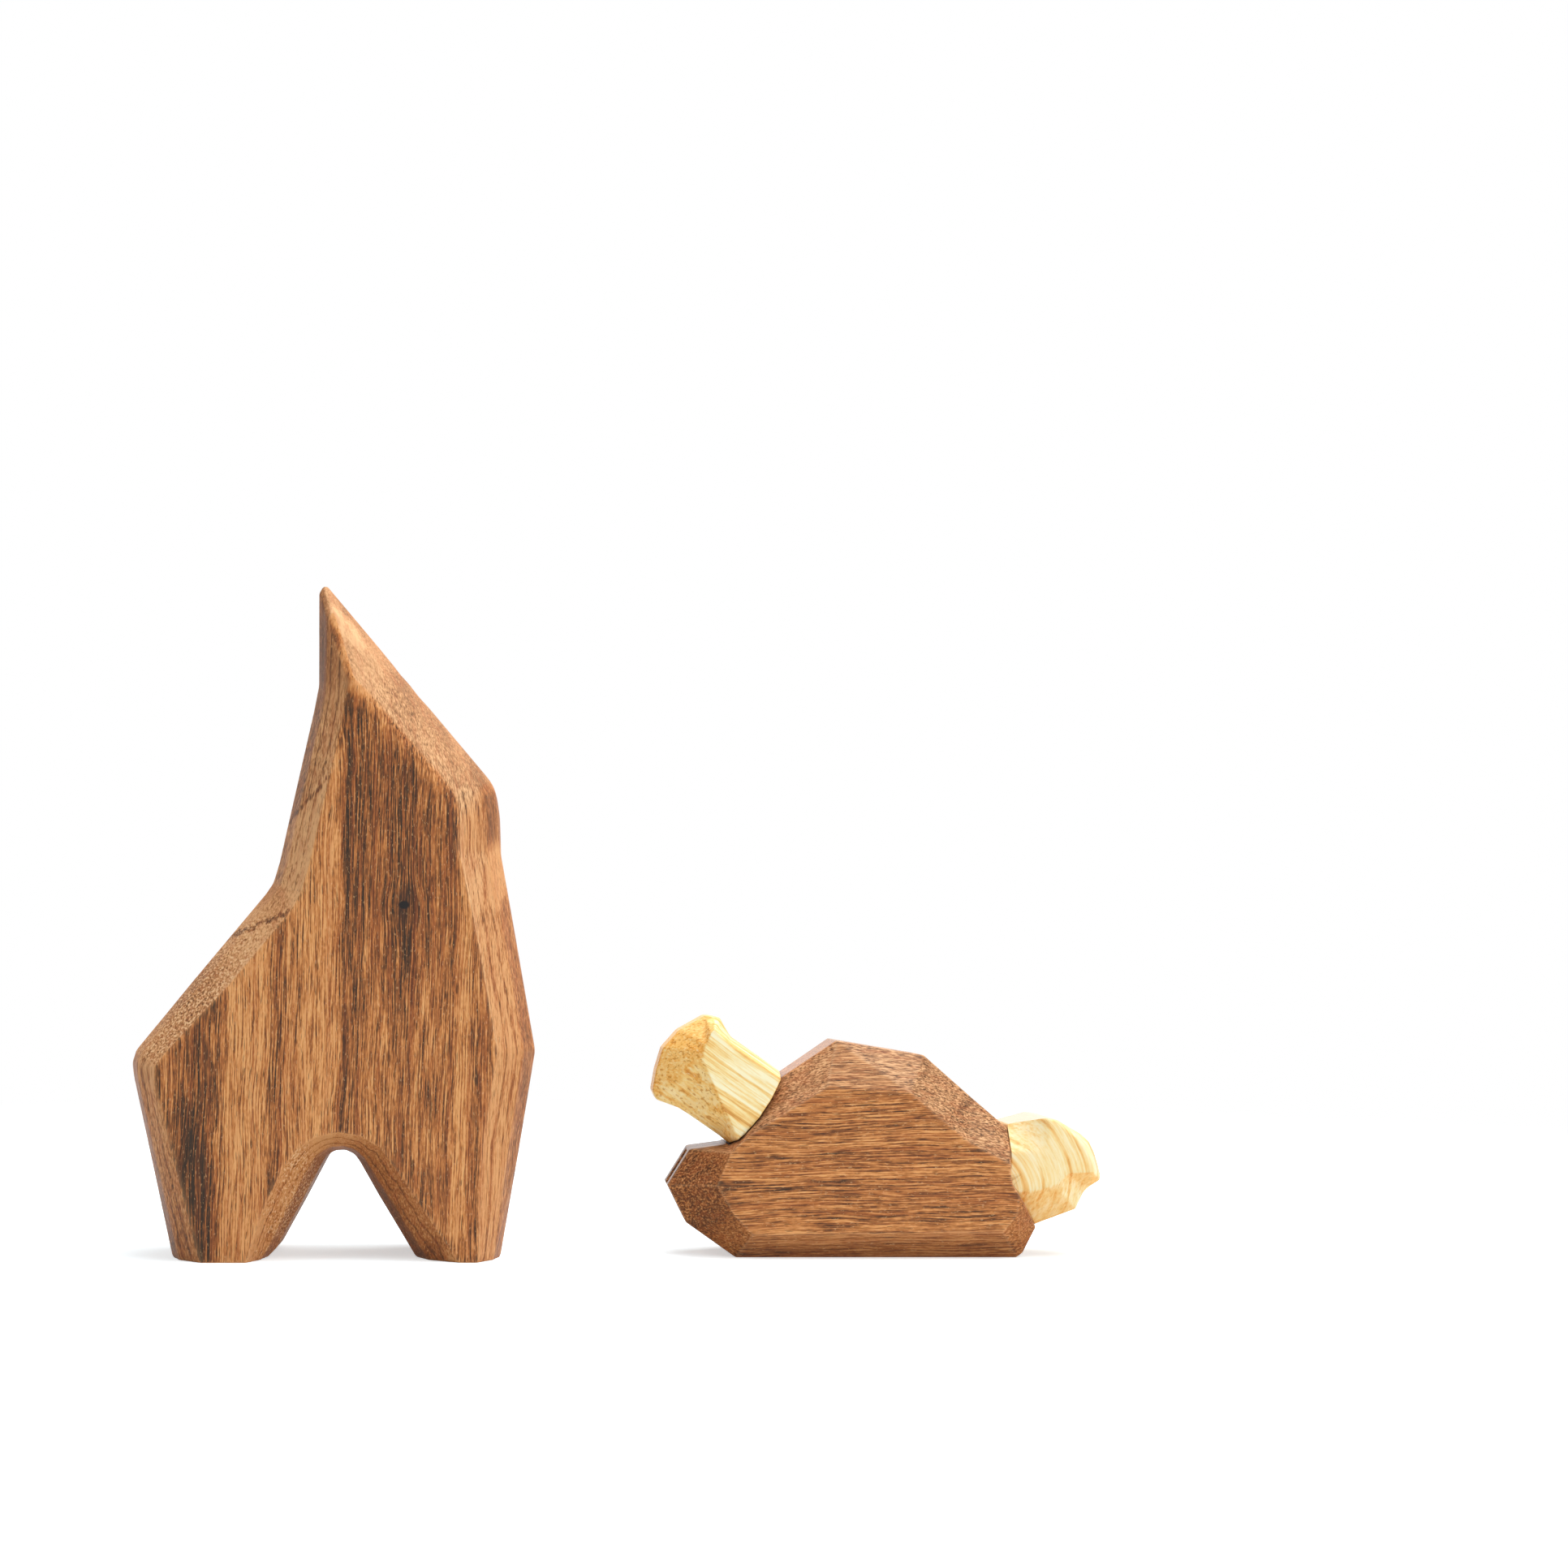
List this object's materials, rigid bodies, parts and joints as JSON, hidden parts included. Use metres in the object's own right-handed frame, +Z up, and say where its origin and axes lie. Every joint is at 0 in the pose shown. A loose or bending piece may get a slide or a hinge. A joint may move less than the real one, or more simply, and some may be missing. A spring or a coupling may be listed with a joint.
{
  "type": "wooden giraffe figurine",
  "caption": "Faceted wooden giraffe figure with a slanted neck cut and a loose head with ears, horn and muzzle that sets on the cut.",
  "frame": {"origin": "middle of the footprint of both groups together, on the floor", "axes": "+X from the standing body to the loose head, -Y the front face, +Z up"},
  "size_m": [0.2182, 0.038, 0.1496],
  "materials": {
    "body_walnut": "oiled satin",
    "head_walnut": "oiled satin",
    "muzzle_ash": "oiled satin",
    "horn_ash": "oiled satin",
    "dowel_beech": "plain",
    "magnet_nickel": "nickel plated"
  },
  "bodies": {
    "giraffe body": {"body": "body_walnut", "neck_magnet": "magnet_nickel"},
    "link": {"head_magnet": "magnet_nickel"},
    "head": {"head_block": "head_walnut", "muzzle": "muzzle_ash", "horn": "horn_ash", "muzzle_dowel_upper": "dowel_beech", "muzzle_dowel_lower": "dowel_beech", "horn_dowel_front": "dowel_beech", "horn_dowel_rear": "dowel_beech"}
  },
  "joints": [
    {"name": "head_carry", "type": "hinge", "parent": "giraffe body", "child": "link", "pos_m": [-0.05835, 0, 0.0154], "axis": [0, -1, 0], "range_deg": [0, 90]},
    {"name": "head_tilt", "type": "hinge", "parent": "link", "child": "head", "pos_m": [0.0571, 0, 0.0042], "axis": [0, 1, 0], "range_deg": [0, 139.1]}
  ],
  "couplings": [
    {"joint": "head_tilt", "follows": "head_carry", "ratio": 1.5447}
  ]
}
